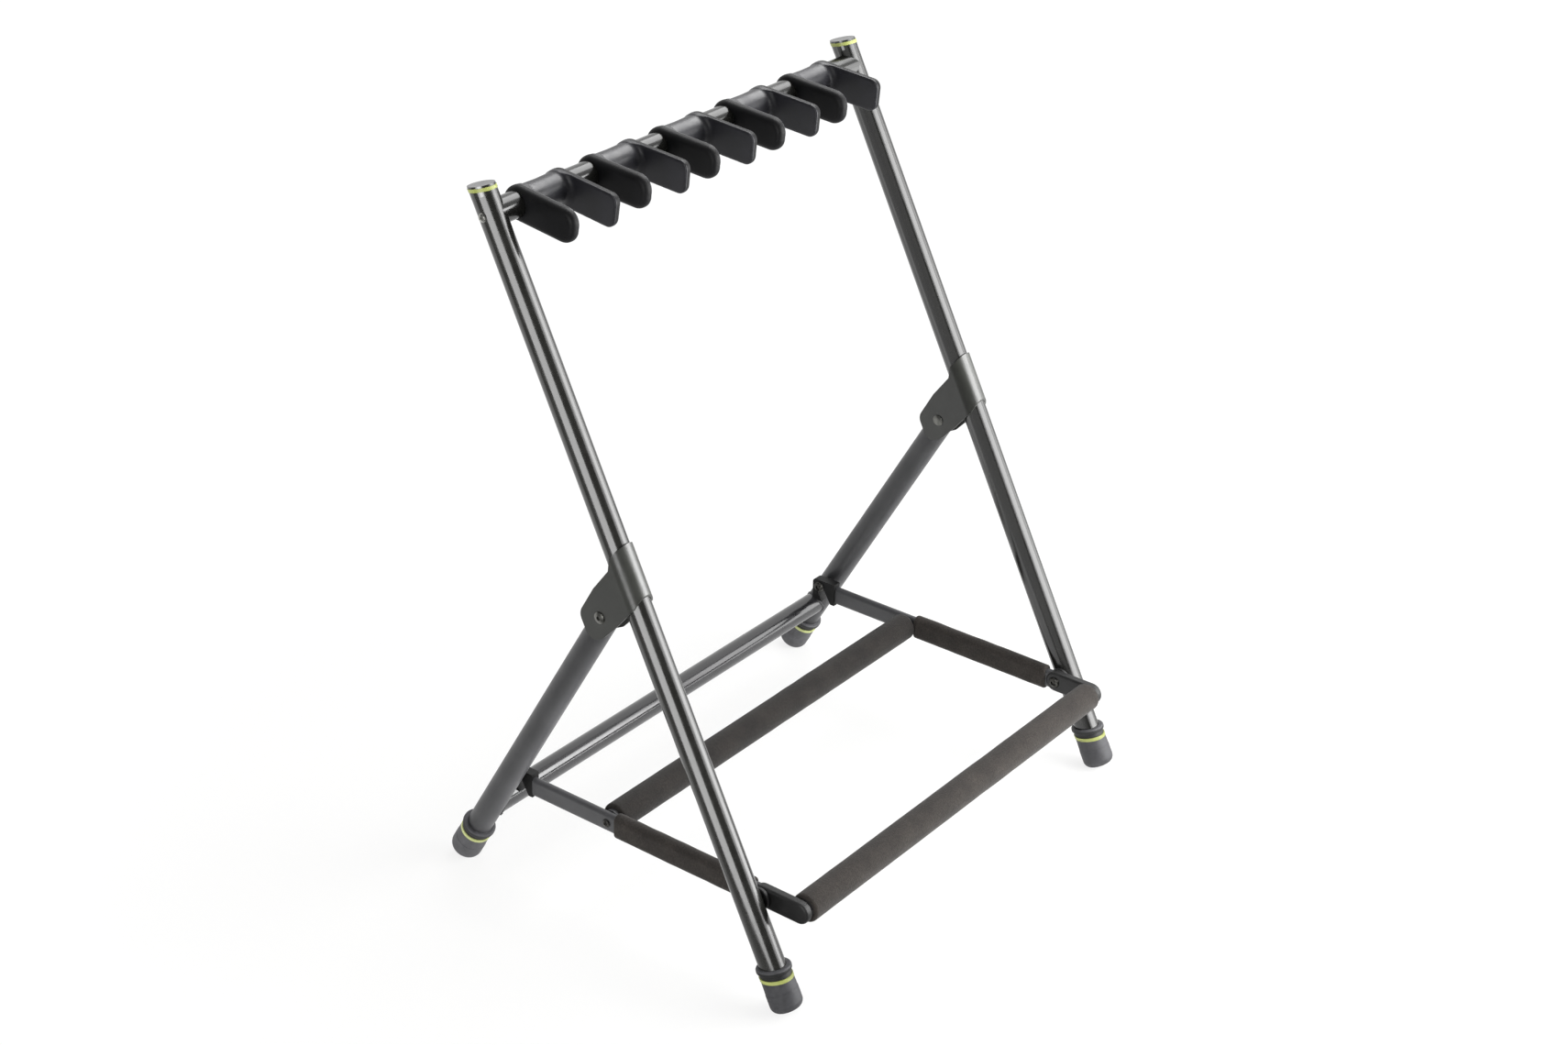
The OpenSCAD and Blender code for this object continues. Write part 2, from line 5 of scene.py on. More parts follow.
import bmesh
import bpy
from mathutils import Matrix, Quaternion, Vector, noise


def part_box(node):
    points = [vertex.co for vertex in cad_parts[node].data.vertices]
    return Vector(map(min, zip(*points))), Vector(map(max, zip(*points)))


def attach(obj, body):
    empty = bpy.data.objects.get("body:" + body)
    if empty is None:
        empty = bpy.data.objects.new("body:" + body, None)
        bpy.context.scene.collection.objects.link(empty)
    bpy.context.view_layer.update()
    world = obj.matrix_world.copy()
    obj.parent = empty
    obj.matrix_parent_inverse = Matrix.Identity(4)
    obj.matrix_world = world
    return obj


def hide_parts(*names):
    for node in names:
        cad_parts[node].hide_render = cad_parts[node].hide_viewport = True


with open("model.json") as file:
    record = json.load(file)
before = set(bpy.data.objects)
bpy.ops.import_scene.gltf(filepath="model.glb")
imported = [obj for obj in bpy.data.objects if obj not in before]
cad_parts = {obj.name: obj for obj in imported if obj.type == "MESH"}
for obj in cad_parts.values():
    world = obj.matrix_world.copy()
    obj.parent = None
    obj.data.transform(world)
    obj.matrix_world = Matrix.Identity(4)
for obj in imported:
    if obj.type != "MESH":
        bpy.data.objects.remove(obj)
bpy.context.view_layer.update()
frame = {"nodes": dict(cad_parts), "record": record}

MM = 0.001
SIDES = {"left": -1, "right": 1}
YOKES = range(1, 6)
ALONG_X = Matrix.Rotation(math.pi / 2, 4, "Y")  # lays along X what is made about Z

# Sizes shared with the CAD model
ARM_THICKNESS = 9.5 * MM
ARM_RADIUS = 16.5 * MM
ARM_REACH = 67.5 * MM
ARM_TIP_RADIUS = {-1: 14 * MM, 1: 9 * MM}
ARM_ROUND = 5.5 * MM
ARM_DROOP = math.radians(5)
FIRST_YOKE_TURN = math.radians(3)
NECK_GAP = 47 * MM
SLEEVE_RADIUS = 14.4 * MM
BORE_RADIUS = 12.6 * MM
BOLT_RADIUS = 4 * MM
BOLT_HEAD = 3 * MM
SCREW_RADIUS = 3 * MM
SCREW_HEAD_RADIUS = 4.4 * MM
SCREW_HEAD = 2.2 * MM
TOP_SCREW_LENGTH = 39 * MM
BAR_SCREW_LENGTH = 20 * MM
TUBE_RADIUS = 12.5 * MM
CROSSBAR_RADIUS = 11.5 * MM
UPRIGHT_LEAN = math.radians(26.6)
LEG_LEAN = math.radians(29.699)
RIM_TILT = math.radians(12)
FOOT_Y = 193.89 * MM
FOOT_Z = 13.83 * MM
PAD_BAR_BORE = 9.75 * MM
RAIL_BORE = 4.25 * MM

# Sizes of what only this scene shows
FOOT_TONE_HEIGHT = 34 * MM  # above a foot's centre, where its tones end
ARM_SOFT = 1.2 * MM
LINING_THICKNESS = 1.6 * MM
SLEEVE_FILLET = 6.5 * MM
SLEEVE_LIFT = 0.4 * MM
SLEEVE_OVERLAP = 3 * MM
SLEEVE_INSET = 0.35 * MM
YOKE_VOXEL = 0.8 * MM
BORE_LENGTH = 120 * MM
HEAD_EDGE = 0.3 * MM
SHANK_POINT = 0.5 * MM
RECESS_DEPTH = 1.3 * MM
CUTTER_EXCESS = 2 * MM
WELD_RADIUS = 1.3 * MM
WELD_LUMP_SIZE = 4 * MM
BAR_FOAM_SOFT = 2.6 * MM
RAIL_FOAM_SOFT = 2.0 * MM
BAR_FOAM_SKIN = 1 * MM
RAIL_FOAM_SKIN = 0.8 * MM
NOSE_LIP = 0.9 * MM
NOSE_SPREAD = 1.6 * MM
NOSE_ROUND = 2.8 * MM
PIVOT_CLEARANCE = 0.2 * MM
MERGE_DISTANCE = 0.002 * MM

# Shares and angles of what only this scene shows
DOME_TURNS = (0.15, 0.3, 0.45, 0.6, 0.75, 0.9)  # radians from the top of a fastener's dome
DOME_SHARE = 0.86  # dome's radius, of the head's
DOME_RISE = 0.5  # dome's fullness, of the head's radius
RECESS_SHARE = 0.46  # recess's radius, of the head's
CROSS_SHARE = 0.42  # width of a cross's slot, of the recess's radius
RIM_ANGLE = 1.0  # radians over which an edge of a slab is part of its rim
WELD_STEPS = 120
WELD_RIPPLES = 26  # round a bead
WELD_RIPPLE = 0.25  # of the bead's radius
WELD_LUMP = 0.3  # of the bead's radius
FOAM_TURNS = 31.0  # radians per metre of bar, from even to uneven


def paired(word):
    """Names of the left and the right one of a pair."""
    return ["%s_%s" % (word, side) for side in SIDES]


# Materials

def linear(code):
    """Linear colour of an sRGB hex value."""
    channels = [int(code[i:i + 2], 16) / 255 for i in (1, 3, 5)]
    return [c / 12.92 if c <= 0.04045 else ((c + 0.055) / 1.055) ** 2.4 for c in channels] + [1.0]


def per_mm(size):
    """Texture scale whose features are about this many millimetres across."""
    return 1.0 / (size * MM)


def add(tree, kind, inputs=None, stops=(), **settings):
    """Adds a node with its settings; an input is linked if it is given a socket, and set if it is given a
    value. The stops of a colour ramp are given as (position, sRGB hex value)."""
    made = tree.nodes.new("ShaderNode" + kind)
    for name, value in settings.items():
        setattr(made, name, value)
    for name, value in (inputs or {}).items():
        if isinstance(value, bpy.types.NodeSocket):
            tree.links.new(value, made.inputs[name])
        else:
            made.inputs[name].default_value = value
    for number, (position, tone) in enumerate(stops):
        ramp = made.color_ramp.elements
        stop = ramp[number] if number < len(ramp) else ramp.new(position)
        stop.position, stop.color = position, linear(tone)
    return made


def new_material(name):
    """Empty node material, and the Object coordinates that its patterns read."""
    material = bpy.data.materials.new(name)
    material.use_nodes = True
    tree = material.node_tree
    tree.nodes.clear()
    place = add(tree, "TexCoord").outputs["Object"]
    return material, tree, place


def powder_coat(name, dark, light, roughness, peel, ior=1.5):
    """Powder coat on steel tube: baked paint, even in colour, with an orange-peel skin a few millimetres
    across that breaks up its reflections, fine grit, and a few duller rubbed patches."""
    material, tree, place = new_material(name)
    cloud = add(tree, "TexNoise", {"Vector": place, "Scale": per_mm(38), "Detail": 4.0})
    colour = add(tree, "ValToRGB", {"Fac": cloud.outputs["Fac"]}, stops=((0.35, dark), (0.7, light)))
    rubbed = add(tree, "TexNoise", {"Vector": place, "Scale": per_mm(14), "Detail": 5.0, "Roughness": 0.65})
    dull = add(tree, "MapRange", {"Value": rubbed.outputs["Fac"], "From Min": 0.4, "From Max": 0.75,
                                  "To Min": roughness, "To Max": roughness + 0.1})
    skin = add(tree, "TexNoise", {"Vector": place, "Scale": per_mm(2.4), "Detail": 2.0})
    grit = add(tree, "TexNoise", {"Vector": place, "Scale": per_mm(0.5), "Detail": 1.0})
    height = add(tree, "Math", {0: skin.outputs["Fac"], 1: 0.75, 2: grit.outputs["Fac"]},
                 operation="MULTIPLY_ADD")
    bump = add(tree, "Bump", {"Height": height.outputs[0], "Strength": peel, "Distance": 0.12 * MM})
    shader = add(tree, "BsdfPrincipled", {
        "Base Color": colour.outputs["Color"], "Roughness": dull.outputs["Result"],
        "Normal": bump.outputs["Normal"], "IOR": ior})
    add(tree, "OutputMaterial", {"Surface": shader.outputs["BSDF"]})
    return material


def zinc_plate(name, tone, pale):
    """Zinc-plated steel of screws and rivets: pale metal with a fine turned grain and a soft grey bloom."""
    material, tree, place = new_material(name)
    bloom = add(tree, "TexNoise", {"Vector": place, "Scale": per_mm(3), "Detail": 4.0})
    colour = add(tree, "ValToRGB", {"Fac": bloom.outputs["Fac"]}, stops=((0.0, tone), (1.0, pale)))
    rough = add(tree, "MapRange", {"Value": bloom.outputs["Fac"], "To Min": 0.22, "To Max": 0.45})
    turned = add(tree, "TexNoise", {"Vector": place, "Scale": per_mm(0.6), "Detail": 2.0})
    bump = add(tree, "Bump", {"Height": turned.outputs["Fac"], "Strength": 0.12, "Distance": 0.05 * MM})
    shader = add(tree, "BsdfPrincipled", {
        "Base Color": colour.outputs["Color"], "Metallic": 1.0, "Roughness": rough.outputs["Result"],
        "Normal": bump.outputs["Normal"]})
    add(tree, "OutputMaterial", {"Surface": shader.outputs["BSDF"]})
    return material


def black_oxide(name):
    """Blackened steel of bolts, studs and the base frame's screws: dark oiled metal, a little brown, rubbed
    pale on its high spots, with a fine turned grain."""
    material, tree, place = new_material(name)
    wear = add(tree, "TexNoise", {"Vector": place, "Scale": per_mm(2.2), "Detail": 5.0, "Roughness": 0.6})
    colour = add(tree, "ValToRGB", {"Fac": wear.outputs["Fac"]}, stops=((0.4, "#2e2d2b"), (0.72, "#6b6a66")))
    rough = add(tree, "MapRange", {"Value": wear.outputs["Fac"], "From Min": 0.3, "From Max": 0.7,
                                   "To Min": 0.3, "To Max": 0.45})
    turned = add(tree, "TexNoise", {"Vector": place, "Scale": per_mm(0.5), "Detail": 2.0})
    bump = add(tree, "Bump", {"Height": turned.outputs["Fac"], "Strength": 0.15, "Distance": 0.05 * MM})
    shader = add(tree, "BsdfPrincipled", {
        "Base Color": colour.outputs["Color"], "Metallic": 1.0, "Roughness": rough.outputs["Result"],
        "Normal": bump.outputs["Normal"]})
    add(tree, "OutputMaterial", {"Surface": shader.outputs["BSDF"]})
    return material


def moulded(name, dark, light, roughness, grain_mm, grain, patch_mm=9.0, ior=1.5):
    """Moulded rubber or plastic: one colour through, a spark-eroded grain that spreads its highlight, and a
    faint uneven bloom where it was handled."""
    material, tree, place = new_material(name)
    bloom = add(tree, "TexNoise", {"Vector": place, "Scale": per_mm(patch_mm), "Detail": 5.0,
                                   "Roughness": 0.6})
    colour = add(tree, "ValToRGB", {"Fac": bloom.outputs["Fac"]}, stops=((0.32, dark), (0.72, light)))
    rough = add(tree, "MapRange", {"Value": bloom.outputs["Fac"], "From Min": 0.3, "From Max": 0.7,
                                   "To Min": roughness - 0.05, "To Max": roughness + 0.08})
    pits = add(tree, "TexNoise", {"Vector": place, "Scale": per_mm(grain_mm), "Detail": 3.0,
                                  "Roughness": 0.55})
    bump = add(tree, "Bump", {"Height": pits.outputs["Fac"], "Strength": grain, "Distance": 0.15 * MM})
    shader = add(tree, "BsdfPrincipled", {
        "Base Color": colour.outputs["Color"], "Roughness": rough.outputs["Result"],
        "Normal": bump.outputs["Normal"], "IOR": ior})
    add(tree, "OutputMaterial", {"Surface": shader.outputs["BSDF"]})
    return material


def foot_rubber(name, foot_y, lean, tilt, body):
    """Moulded rubber foot: grey body with a fine spark-eroded grain. From above its ring over the lower half
    of its lip it is painted near-black, a painted shade in the groove and under the lip, and the top of its
    lip is painted a set grey as a painted highlight on its lit upper face. The bands follow the foot's own
    rings, which lean with the tube less a tilt."""
    material, tree, place = new_material(name)
    centre = Vector((0, foot_y, FOOT_Z))
    along = Vector((0, math.sin(lean), math.cos(lean)))
    across = Vector((0, math.sin(lean - tilt), math.cos(lean - tilt)))
    low, high = (across.dot(centre + along * rise) for rise in (0, FOOT_TONE_HEIGHT))
    height = add(tree, "VectorMath", {0: place, 1: across}, operation="DOT_PRODUCT")
    share = add(tree, "MapRange", {"Value": height.outputs["Value"], "From Min": low, "From Max": high})
    # Bands along the foot: body, then painted shade in near-black from above the ring over the lower half of
    # the lip, then the lip's top in its own grey as a painted highlight
    shade_and_highlight_bands = add(tree, "ValToRGB", {"Fac": share.outputs["Result"]}, stops=(
        (0.0, body), (0.66, body), (0.69, "#1b1b1c"), (0.89, "#1b1b1c"), (0.93, "#4d4d50")))
    bloom = add(tree, "TexNoise", {"Vector": place, "Scale": per_mm(9), "Detail": 5.0, "Roughness": 0.6})
    shade = add(tree, "MapRange", {"Value": bloom.outputs["Fac"], "From Min": 0.3, "From Max": 0.7,
                                   "To Min": 0.72, "To Max": 1.28})
    colour = add(tree, "VectorMath", {0: shade_and_highlight_bands.outputs["Color"], "Scale": shade.outputs["Result"]},
                 operation="SCALE")
    rough = add(tree, "MapRange", {"Value": bloom.outputs["Fac"], "From Min": 0.3, "From Max": 0.7,
                                   "To Min": 0.5, "To Max": 0.64})
    pits = add(tree, "TexNoise", {"Vector": place, "Scale": per_mm(0.8), "Detail": 3.0, "Roughness": 0.55})
    bump = add(tree, "Bump", {"Height": pits.outputs["Fac"], "Strength": 0.25, "Distance": 0.15 * MM})
    shader = add(tree, "BsdfPrincipled", {
        "Base Color": colour.outputs["Vector"], "Roughness": rough.outputs["Result"],
        "Normal": bump.outputs["Normal"], "IOR": 1.5})
    add(tree, "OutputMaterial", {"Surface": shader.outputs["BSDF"]})
    return material


def closed_cell_foam(name, dark, light):
    """Closed-cell rubber foam sleeve: extruded, matte, its cut cells a dense pitting of about half a
    millimetre, drawn here at 0.9 mm so that it shows, over a warm grey that varies along the sleeve."""
    material, tree, place = new_material(name)
    tone = add(tree, "TexNoise", {"Vector": place, "Scale": per_mm(26), "Detail": 6.0, "Roughness": 0.6})
    cells = add(tree, "TexVoronoi", {"Vector": place, "Scale": per_mm(0.9), "Randomness": 1.0})
    fleck = add(tree, "TexNoise", {"Vector": place, "Scale": per_mm(1.6), "Detail": 3.0})
    base = add(tree, "ValToRGB", {"Fac": tone.outputs["Fac"]}, stops=((0.35, dark), (0.68, light)))
    speckle = add(tree, "MapRange", {"Value": fleck.outputs["Fac"], "From Min": 0.35, "From Max": 0.65,
                                     "To Min": 0.72, "To Max": 1.18})
    colour = add(tree, "VectorMath", {0: base.outputs["Color"], "Scale": speckle.outputs["Result"]},
                 operation="SCALE")
    height = add(tree, "Math", {0: cells.outputs["Distance"], 1: 1.4, 2: fleck.outputs["Fac"]},
                 operation="MULTIPLY_ADD")
    bump = add(tree, "Bump", {"Height": height.outputs[0], "Strength": 0.55, "Distance": 0.35 * MM})
    shader = add(tree, "BsdfPrincipled", {
        "Base Color": colour.outputs["Vector"], "Roughness": 0.92, "Normal": bump.outputs["Normal"],
        "IOR": 1.4, "Sheen Weight": 0.12, "Sheen Roughness": 0.5})
    add(tree, "OutputMaterial", {"Surface": shader.outputs["BSDF"]})
    return material


FINISH = {
    "black_tube": powder_coat("gloss_black_powder_coat", "#151513", "#1c1c1a",
                              roughness=0.16, peel=0.025, ior=1.75),
    "grey_tube": powder_coat("satin_charcoal_powder_coat", "#404042", "#4b4b4d", roughness=0.36, peel=0.14),
    "bracket": powder_coat("bracket_powder_coat", "#2e2f2c", "#373834", roughness=0.28, peel=0.1, ior=1.65),
    "steel": zinc_plate("zinc_plated_steel", "#8f8f8a", "#d2d2cc"),
    "black_steel": black_oxide("black_oxide_steel"),
    "foot_rubber": foot_rubber("front_foot_rubber", -FOOT_Y, UPRIGHT_LEAN, RIM_TILT, "#3f3f42"),
    "yoke_rubber": moulded("yoke_rubber", "#0e0e0f", "#161618", roughness=0.5, grain_mm=0.7, grain=0.16,
                           patch_mm=16.0, ior=1.3),
    "ring": moulded("ring_plastic", "#a8b060", "#b6bd72", roughness=0.34, grain_mm=0.6, grain=0.06),
    "black_plastic": moulded("black_nylon", "#141414", "#1e1e1e", roughness=0.45, grain_mm=0.7, grain=0.2),
    "bush_plastic": moulded("natural_nylon", "#b9b5a6", "#c9c6ba", roughness=0.4, grain_mm=0.8, grain=0.1),
    "foam": closed_cell_foam("closed_cell_foam", "#2a2623", "#38332f"),
}

# Finishes that differ from the rest of their slot
# Bar foams: the front bar's copy is painted a little lighter as painted light, the middle bar's darker as
# painted shade
BAR_FOAM = {"front_bar_foam": closed_cell_foam("painted_light_closed_cell_foam", "#2c2825", "#393430"),
            "middle_bar_foam": closed_cell_foam("shaded_closed_cell_foam", "#1f1c1a", "#2a2623")}
YOKE_LINING = moulded("yoke_lining_rubber", "#19191d", "#232329", roughness=0.42, grain_mm=0.7, grain=0.12,
                      patch_mm=16.0)
# Rear feet: the same rubber as the front feet, its body painted a lighter grey as painted light
REAR_RUBBER = foot_rubber("rear_foot_rubber", FOOT_Y, -LEG_LEAN, 0.0, "#545457")
# Rear rings: the same plastic as the front rings, painted lighter as painted light that lifts the lip's shade
# on them
REAR_RING = moulded("rear_ring_plastic", "#bec67e", "#ccd392", roughness=0.34, grain_mm=0.6, grain=0.06)
HOOK_NYLON = moulded("hook_nylon", "#0d0d0d", "#151515", roughness=0.5, grain_mm=0.7, grain=0.2, ior=1.35)
RIVET_STEEL = zinc_plate("rivet_steel", "#4e4e4b", "#94948f")
CROSSBAR_COAT = powder_coat("semi_gloss_charcoal_powder_coat", "#232325", "#2d2d2f",
                            roughness=0.15, peel=0.03, ior=1.85)
OWN_FINISH = {
    "rear_crossbar": CROSSBAR_COAT,
    "rear_foot_rings": REAR_RING,
    **dict.fromkeys(paired("rear_foot"), REAR_RUBBER),
    **dict.fromkeys(paired("rail_hook"), HOOK_NYLON),
    **dict.fromkeys(paired("hinge_rivet"), RIVET_STEEL),
    **dict.fromkeys(paired("top_cap"), FINISH["black_tube"]),
}

for subpart in frame["record"]["subparts"]:
    mesh = frame["nodes"][subpart["node"]].data
    mesh.materials.clear()
    mesh.materials.append(OWN_FINISH.get(subpart["node"], FINISH[subpart["material_slot"]]))


# Helpers for new pieces

def new_object(name, data):
    """Object in the scene for a mesh, a lamp or a camera."""
    made = bpy.data.objects.new(name, data)
    bpy.context.scene.collection.objects.link(made)
    return made


def mesh_of(bm, name):
    """Mesh of a finished bmesh, which is freed."""
    mesh = bpy.data.meshes.new(name)
    bm.to_mesh(mesh)
    bm.free()
    return mesh


def dress(name, mesh, body, slot, *nodes, sharp):
    """Makes a piece of a finished mesh: smooth shading with creases past an angle in degrees, a slot's
    finish, the body that it rides on and the CAD nodes that it stands for."""
    mesh.name = name
    mesh.shade_smooth()
    mesh.set_sharp_from_angle(angle=math.radians(sharp))
    mesh.materials.clear()
    mesh.materials.append(FINISH[slot])
    made = new_object(name, mesh)
    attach(made, body)
    if nodes:
        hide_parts(*nodes)
    return made


def loose(bm, name):
    """Puts a bmesh in the scene as a plain object, such as one to be cut or joined by modifiers."""
    return new_object(name, mesh_of(bm, name))


def boolean(made, other, operation):
    """Adds an exact boolean with another object."""
    modifier = made.modifiers.new(operation.lower(), "BOOLEAN")
    modifier.operation = operation
    modifier.solver = "EXACT"
    modifier.object = other


def baked(made, *helpers):
    """Mesh of an object with its modifiers applied; the object and its helpers leave the scene."""
    graph = bpy.context.evaluated_depsgraph_get()
    mesh = bpy.data.meshes.new_from_object(made.evaluated_get(graph))
    assert mesh.polygons, "nothing is left of " + made.name
    for used in (made, *helpers):
        bpy.data.objects.remove(used)
    return mesh


def middle(node):
    """Centre and half size of a CAD node's box."""
    low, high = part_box(node)
    return (low + high) / 2, (high - low) / 2


def arc(centre, radius, start, end, steps):
    """Points of an arc, angles in degrees."""
    turns = [math.radians(start + (end - start) * i / steps) for i in range(steps + 1)]
    return [(centre[0] + radius * math.cos(t), centre[1] + radius * math.sin(t)) for t in turns]


def revolve(bm, outline, place, steps, closed=False):
    """Spins an outline of (along, radius) about the X axis of a place."""
    points = [bm.verts.new(place @ Vector((along, 0, radius))) for along, radius in outline]
    edges = [bm.edges.new(pair) for pair in zip(points, points[1:])]
    if closed:
        edges.append(bm.edges.new((points[-1], points[0])))
    axis = place.to_3x3() @ Vector((1, 0, 0))
    bmesh.ops.spin(bm, geom=points + edges, cent=place.translation, axis=axis, angle=2 * math.pi,
                   steps=steps, use_merge=True)
    bmesh.ops.remove_doubles(bm, verts=bm.verts[:], dist=MERGE_DISTANCE)
    bmesh.ops.recalc_face_normals(bm, faces=bm.faces[:])


def rod(start, end, radius, centre, segments=64):
    """Plain cylinder along X between two places, about a centre line, to cut with."""
    bm = bmesh.new()
    place = Matrix.Translation(((start + end) / 2, centre.y, centre.z)) @ ALONG_X
    bmesh.ops.create_cone(bm, cap_ends=True, segments=segments, radius1=radius, radius2=radius,
                          depth=abs(end - start), matrix=place)
    return loose(bm, "rod")


def slab(discs, width):
    """Slab across X round some discs, given as (place, radius): their hull, with its flat sides whole."""
    bm = bmesh.new()
    for place, radius in discs:
        for side in (-0.5, 0.5):
            face = place @ Matrix.Translation((side * width, 0, 0)) @ ALONG_X
            bmesh.ops.create_circle(bm, segments=72, radius=radius, matrix=face)
    bmesh.ops.convex_hull(bm, input=bm.verts[:])
    bmesh.ops.delete(bm, geom=[v for v in bm.verts if not v.link_faces], context="VERTS")
    bmesh.ops.delete(bm, geom=[e for e in bm.edges if not e.link_faces], context="EDGES")
    bmesh.ops.dissolve_limit(bm, angle_limit=math.radians(1), verts=bm.verts[:], edges=bm.edges[:])
    bmesh.ops.recalc_face_normals(bm, faces=bm.faces[:])
    return bm


def round_rim(bm, offset, segments, side=0):
    """Rounds the rims of a slab: both, or where it lies about x = 0 the right (1) or the left (-1) alone."""
    rim = [edge for edge in bm.edges if edge.calc_face_angle(0) > RIM_ANGLE
           and all(vert.co.x * side >= 0 for vert in edge.verts)]
    bmesh.ops.bevel(bm, geom=rim, offset=offset, segments=segments, profile=0.5, affect="EDGES", material=-1)


def edges_of(ring):
    """Edges of a circle that was just made, in order."""
    return list(dict.fromkeys(edge for vert in ring["verts"] for edge in vert.link_edges))


def bridge(bm, rings):
    """Skins a closed row of rings, each a list of edges, from one to the next."""
    for ring, following in zip(rings, rings[1:] + rings[:1]):
        bmesh.ops.bridge_loops(bm, edges=ring + following)
    bmesh.ops.recalc_face_normals(bm, faces=bm.faces[:])


# Neck yokes: one soft moulding, two tongues and a waisted sleeve that flow into each other

def tongue(width, tip_radius, inset=0.0):
    """Slab with the side outline of a yoke's arm: round at the bar, softly cornered at the drooping tip."""
    discs = [(Matrix.Identity(4), ARM_RADIUS - inset)]
    for up in (-1, 1):
        corner = Matrix.Translation((0, tip_radius - ARM_REACH, up * (ARM_RADIUS - tip_radius)))
        discs.append((Matrix.Rotation(ARM_DROOP, 4, "X") @ corner, tip_radius - inset))
    return slab(discs, width)


def yoke_arms():
    """Both arms of a yoke: well rounded outside, barely softened inside, the left tip the rounder one."""
    arms = bmesh.new()
    for side in SIDES.values():
        arm = tongue(ARM_THICKNESS, ARM_TIP_RADIUS[side])
        round_rim(arm, ARM_ROUND, 9, side=1)
        round_rim(arm, ARM_SOFT, 3, side=-1)
        bmesh.ops.translate(arm, verts=arm.verts[:], vec=((NECK_GAP + ARM_THICKNESS) / 2, 0, 0))
        if side < 0:
            bmesh.ops.scale(arm, verts=arm.verts[:], vec=(-1, 1, 1))
            bmesh.ops.reverse_faces(arm, faces=arm.faces[:])
        half = mesh_of(arm, "arm")
        arms.from_mesh(half)
        bpy.data.meshes.remove(half)
    return loose(arms, "yoke")


def yoke_sleeve(reach):
    """Waisted sleeve round the bar, with a fillet up to each arm's inner face."""
    turn = (NECK_GAP / 2 - SLEEVE_FILLET, SLEEVE_FILLET)
    curve = [(x, SLEEVE_RADIUS + SLEEVE_LIFT + rise) for x, rise in arc(turn, SLEEVE_FILLET, -90, 0, 10)]
    mirrored = [(-x, radius) for x, radius in reversed(curve)]
    outline = ([(-reach, 0), (-reach, mirrored[0][1])] + mirrored + [(0, SLEEVE_RADIUS)] + curve
               + [(reach, curve[-1][1]), (reach, 0)])
    bm = bmesh.new()
    revolve(bm, outline, Matrix.Identity(4), steps=96)
    return loose(bm, "sleeve")


def yoke_mesh():
    """One yoke about the bar's axis: arms and sleeve, which is kept inside the arms' outline, melted together
    and then bored."""
    reach = NECK_GAP / 2 + SLEEVE_OVERLAP
    made = yoke_arms()
    sleeve = yoke_sleeve(reach)
    bound = loose(tongue(2 * reach + CUTTER_EXCESS, ARM_TIP_RADIUS[1], SLEEVE_INSET), "bound")
    boolean(sleeve, bound, "INTERSECT")
    boolean(made, sleeve, "UNION")
    melt = made.modifiers.new("melt", "REMESH")
    melt.mode = "VOXEL"
    melt.voxel_size = YOKE_VOXEL
    soften = made.modifiers.new("soften", "SMOOTH")
    soften.factor = 0.5
    soften.iterations = 6
    bore = rod(-BORE_LENGTH / 2, BORE_LENGTH / 2, BORE_RADIUS, Vector(), segments=128)
    boolean(made, bore, "DIFFERENCE")
    return baked(made, sleeve, bound, bore)


def neck_yokes():
    """The row of yokes on the bar, the first turned down a little, with a shinier lining between the arms."""
    bar, _ = middle("top_bar")
    plain = yoke_mesh()
    for number in YOKES:
        node = "neck_yoke_%d" % number
        spot = Vector((middle(node)[0].x, bar.y, bar.z))
        turn = FIRST_YOKE_TURN if number == 1 else 0.0
        mesh = plain.copy()
        mesh.transform(Matrix.Translation(spot) @ Matrix.Rotation(turn, 4, "X"))
        dress("yoke_moulding_%d" % number, mesh, "yoke_%d" % number, "yoke_rubber", node, sharp=60)
        mesh.materials.append(YOKE_LINING)
        for face in mesh.polygons:
            face.material_index = int(abs(face.center.x - spot.x) < NECK_GAP / 2 + LINING_THICKNESS)
    bpy.data.meshes.remove(plain)


# Fasteners: domed heads with a hexagon socket or a cross, on plain shanks

def recess(kind, place, size):
    """Cutters of a hexagon or a cross in a head, sunk from the place's origin along its X axis."""
    depth = RECESS_DEPTH + CUTTER_EXCESS
    inward = place @ Matrix.Translation(((CUTTER_EXCESS - RECESS_DEPTH) / 2, 0, 0)) @ ALONG_X
    if kind == "hexagon":
        bm = bmesh.new()
        bmesh.ops.create_cone(bm, cap_ends=True, segments=6, radius1=size, radius2=size, depth=depth,
                              matrix=inward)
        return [loose(bm, kind)]
    slots = []
    for turn in (45, 135):
        bm = bmesh.new()
        bmesh.ops.create_cube(bm, size=1, matrix=inward @ Matrix.Rotation(math.radians(turn), 4, "Z")
                              @ Matrix.Diagonal((2 * size, CROSS_SHARE * size, depth, 1)))
        slots.append(loose(bm, kind))
    return slots


def fastener_outline(radius, height, shank, length):
    """Half section of a fastener as (along, radius), from the top of its dome to the point of its shank."""
    widest = math.sin(DOME_TURNS[-1])
    dome = [(height - DOME_RISE * radius * (1 - math.cos(turn)),
             radius * DOME_SHARE * math.sin(turn) / widest) for turn in DOME_TURNS]
    return [(height, 0)] + dome + [
        (HEAD_EDGE, radius), (0, radius - HEAD_EDGE), (0, shank),
        (-length + SHANK_POINT, shank), (-length, shank - SHANK_POINT), (-length, 0)]


